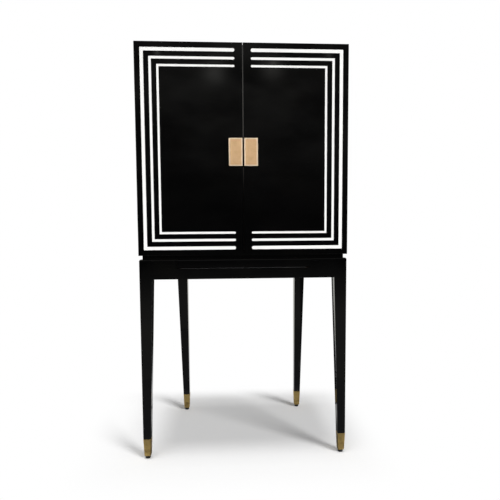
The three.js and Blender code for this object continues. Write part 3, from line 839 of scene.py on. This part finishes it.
def add_glide(corner):
    node = f"glide_{corner}"
    low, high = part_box(node)
    middle = (low + high) / 2
    radius = (high.x - low.x) / 2
    round_radius = radius - GLIDE_FACE_RADIUS
    profile = []
    for step in range(ROUND_STEPS + 1):
        angle = step / ROUND_STEPS * math.pi / 2
        profile.append((GLIDE_FACE_RADIUS + round_radius * math.sin(angle),
                        low.z + round_radius * (1 - math.cos(angle))))
    profile.append((radius, high.z))
    work = loft([[point + Vector((middle.x, middle.y, 0)) for point in ring]
                 for ring in lathe(profile, ROUND_SIDES)])
    piece = mesh_object(f"glide_pad_{corner}", work, [PLASTIC], body_of[node])
    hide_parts(node)
    shade(piece)


def add_serving_shelf():
    soften(paint("drop_front", LACQUER), SMALL_BEVEL, DROP_FRONT_BEVEL_ABOVE, FINE_SEGMENTS)
    soften(paint("serving_shelf_board", WALNUT["X"]), SMALL_BEVEL * 2)
    shade(paint("drop_front_rod", STEEL))
    for side_name in SIDES:
        soften(paint(f"shelf_runner_{side_name}", WALNUT["Y"]), SMALL_BEVEL * 2)
        shade(paint(f"drop_front_arm_{side_name}", STEEL))
    add_shelf_strip()


def add_shelf_strip():
    """Felt that fills the slit between the board and the rail under it, so that no light shows there"""
    low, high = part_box("serving_shelf_board")
    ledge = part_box("drop_front")[0].z - DROP_FRONT_GAP
    work = box_work((low.x + STRIP_END_INSET, low.y + STRIP_SET_BACK, ledge + STRIP_CLEARANCE),
                    (high.x - STRIP_END_INSET, low.y + STRIP_SET_BACK + STRIP_DEPTH, low.z))
    strip = mesh_object("shelf_felt_strip", work, [GREY_FELT], body_of["serving_shelf_board"])
    soften(strip, SMALL_BEVEL)


# Studio

def sun(name, towards, strength, angle):
    """A soft lamp that polished faces don't mirror as a white disc"""
    light = bpy.data.lights.new(name, "SUN")
    light.energy = strength
    light.angle = math.radians(angle)
    lamp = bpy.data.objects.new(name, light)
    lamp.visible_glossy = False
    lamp.rotation_mode = "QUATERNION"
    lamp.rotation_quaternion = Vector(towards).to_track_quat("-Z", "Y")
    bpy.context.scene.collection.objects.link(lamp)


def ray_switches(graph):
    """Two switches: 1 for the camera's rays, also through glass, and 1 for those that mirrors send"""
    path = graph.add("ShaderNodeLightPath").node.outputs
    direct = graph.math("MAXIMUM", path["Is Camera Ray"], path["Is Transmission Ray"])
    return direct, path["Is Glossy Ray"]


def floor_fade(graph, place):
    """0 under the cabinet and its shadows, 1 where the floor is as white as the background"""
    kept = None
    for side, (begins, full) in FLOOR_FADES.items():
        axis = "X" if side in ("left", "right") else "Y"
        sign = -1.0 if side in ("left", "front") else 1.0
        reach = graph.math("MULTIPLY", graph.axis(place, axis), sign)
        share = graph.span(reach, begins, full, 1.0, 0.0)
        kept = share if kept is None else graph.math("MULTIPLY", kept, share)
    return graph.math("SUBTRACT", 1.0, kept)


def painted_floor_dimness(graph, place):
    """1 where mirrors see a flat dim glow in place of the lit floor, in front of the cabinet, and under it
    from further back: a painted dim reflection in front and painted shade under it
    """
    aside = graph.math("ABSOLUTE", graph.axis(place, "X"))
    under = graph.span(aside, *FLOOR_PAINTED_DIM_ZONE["within"], 0.0, FLOOR_PAINTED_DIM_ZONE["under"])
    depth = graph.math("SUBTRACT", graph.axis(place, "Y"), under)
    return graph.span(depth, FLOOR_PAINTED_DIM_ZONE["from"], FLOOR_PAINTED_DIM_ZONE["to"])


def add_floor():
    """A pale disc that keeps the shadows near the cabinet and turns into plain white further out"""
    work = bmesh.new()
    bmesh.ops.create_circle(work, cap_ends=True, segments=FLOOR_SIDES, radius=FLOOR_RADIUS)
    bmesh.ops.translate(work, vec=(*FLOOR_CENTRE, 0), verts=work.verts)
    mesh = bpy.data.meshes.new("floor")
    work.to_mesh(mesh)
    work.free()
    floor = bpy.data.objects.new("floor", mesh)
    bpy.context.scene.collection.objects.link(floor)

    material = bpy.data.materials.new("floor")
    material.use_nodes = True
    tree = material.node_tree
    tree.nodes.clear()
    graph = Graph(tree)
    place = graph.place()
    cloud = graph.noise(place, 3.0, 3.0)
    colour = graph.mix(cloud, (FLOOR_COLOUR,) * 3, (FLOOR_COLOUR * FLOOR_CLOUD_SHARE,) * 3)
    diffuse = graph.add("ShaderNodeBsdfDiffuse", {"Color": colour})
    glow = graph.add("ShaderNodeEmission", {"Strength": FLOOR_GLOW})
    lit = graph.add("ShaderNodeAddShader", {0: diffuse, 1: glow})
    white = graph.add("ShaderNodeEmission", {"Strength": 1.0})
    faded = graph.add("ShaderNodeMixShader", {0: floor_fade(graph, place), 1: lit, 2: white})
    direct, glossy = ray_switches(graph)
    # The dim glow that mirrors see on the floor is painted shade and a painted dim reflection
    dim = graph.add("ShaderNodeEmission", {"Strength": FLOOR_PAINTED_DIM_IN_MIRRORS})
    mirrored = graph.add("ShaderNodeMixShader", {0: painted_floor_dimness(graph, place), 1: faded, 2: dim})
    plain = graph.add("ShaderNodeMixShader", {0: direct, 1: diffuse, 2: faded})
    shown = graph.add("ShaderNodeMixShader", {0: glossy, 1: plain, 2: mirrored})
    output = tree.nodes.new("ShaderNodeOutputMaterial")
    tree.links.new(shown, output.inputs["Surface"])
    mesh.materials.append(material)


def add_world():
    """White to the camera, even light on the object, and for mirrors a dim room

    Mirrors see soft lights beside the camera, a few small lamps, and white behind the cabinet and overhead.
    """
    world = bpy.data.worlds.new("studio")
    bpy.context.scene.world = world
    world.use_nodes = True
    tree = world.node_tree
    tree.nodes.clear()
    graph = Graph(tree)
    direction = graph.add("ShaderNodeTexCoord", output="Generated")
    up = graph.axis(direction, "Z")
    back = graph.axis(direction, "Y")

    clutter = graph.noise(graph.scaled(direction, CLUTTER["scale"]), 1.0, 3.0, 0.6)
    room = graph.math("MULTIPLY", graph.span(up, ROOM["from"], ROOM["to"], ROOM["low"], ROOM["high"]),
                      graph.span(clutter, CLUTTER["from"], CLUTTER["to"], CLUTTER["low"], CLUTTER["high"]))
    down = graph.math("MULTIPLY", up, -1.0)
    room_floor = graph.span(down, ROOM_FLOOR["from"], ROOM_FLOOR["to"], 0.0, ROOM_FLOOR["strength"])
    aside = graph.math("ABSOLUTE", graph.math("SUBTRACT", graph.axis(direction, "X"), SOFTBOXES["middle"]))
    beside = graph.math("MULTIPLY", graph.span(graph.math("MULTIPLY", back, -1.0), *SOFTBOXES["front"]),
                        graph.span(aside, *SOFTBOXES["aside"]))
    level = graph.math("MULTIPLY", graph.span(up, *SOFTBOXES["low"]),
                       graph.span(up, *SOFTBOXES["high"], SOFTBOXES["strength"], 0.0))
    softboxes = graph.math("MULTIPLY", beside, level)
    ceiling = graph.span(up, CEILING["from"], CEILING["to"], 0.0, CEILING["strength"])
    backdrop = graph.span(back, BACKDROP["from"], BACKDROP["to"], 0.0, BACKDROP["strength"])
    total = graph.math("ADD", room, room_floor)
    for spot in ROOM_SPOTS:
        near = graph.vector("DOT_PRODUCT", direction, tuple(Vector(spot["towards"]).normalized()), "Value")
        sharpness = 1 / math.radians(spot["width"]) ** 2
        glow = graph.math("POWER", graph.math("MAXIMUM", near, 0.0), sharpness)
        total = graph.math("ADD", total, graph.math("MULTIPLY", glow, spot["strength"]))
    for light in (softboxes, ceiling, backdrop):
        total = graph.math("MAXIMUM", total, light)

    direct, glossy = ray_switches(graph)
    soft = graph.blend(glossy, AMBIENT, total)
    strength = graph.blend(direct, soft, 1.0)
    tint = graph.mix(glossy, (1, 1, 1), ROOM_TINT)
    background = graph.add("ShaderNodeBackground", {"Color": tint, "Strength": strength})
    output = tree.nodes.new("ShaderNodeOutputWorld")
    tree.links.new(background, output.inputs["Surface"])


def add_camera():
    """The photograph's own viewpoint"""
    yaw, tilt, roll = (math.radians(a) for a in (CAMERA_YAW, CAMERA_TILT, CAMERA_ROLL))
    ahead = Vector((math.sin(yaw) * math.cos(tilt), math.cos(yaw) * math.cos(tilt), -math.sin(tilt)))
    level = Vector((math.cos(yaw), -math.sin(yaw), 0))
    above = level.cross(ahead)
    right = level * math.cos(roll) + above * math.sin(roll)
    up = above * math.cos(roll) - level * math.sin(roll)
    data = bpy.data.cameras.new("camera")
    data.lens = CAMERA_LENS
    data.sensor_width = SENSOR
    data.sensor_fit = "HORIZONTAL"
    data.shift_x, data.shift_y = CAMERA_SHIFT
    camera = bpy.data.objects.new("camera", data)
    turned = Matrix((right, up, -ahead)).transposed().to_4x4()
    camera.matrix_world = Matrix.Translation(CAMERA_PLACE) @ turned
    bpy.context.scene.collection.objects.link(camera)
    bpy.context.scene.camera = camera


add_camera()
add_world()
add_floor()
for lamp_name, lamp in (("overhead", OVERHEAD), ("key", KEY)):
    sun(lamp_name, **lamp)
bpy.context.scene.view_settings.view_transform = "Standard"

add_box_boards()
add_fittings()
add_pads()
add_doors()
add_hinge_screws()
add_stand()
add_serving_shelf()
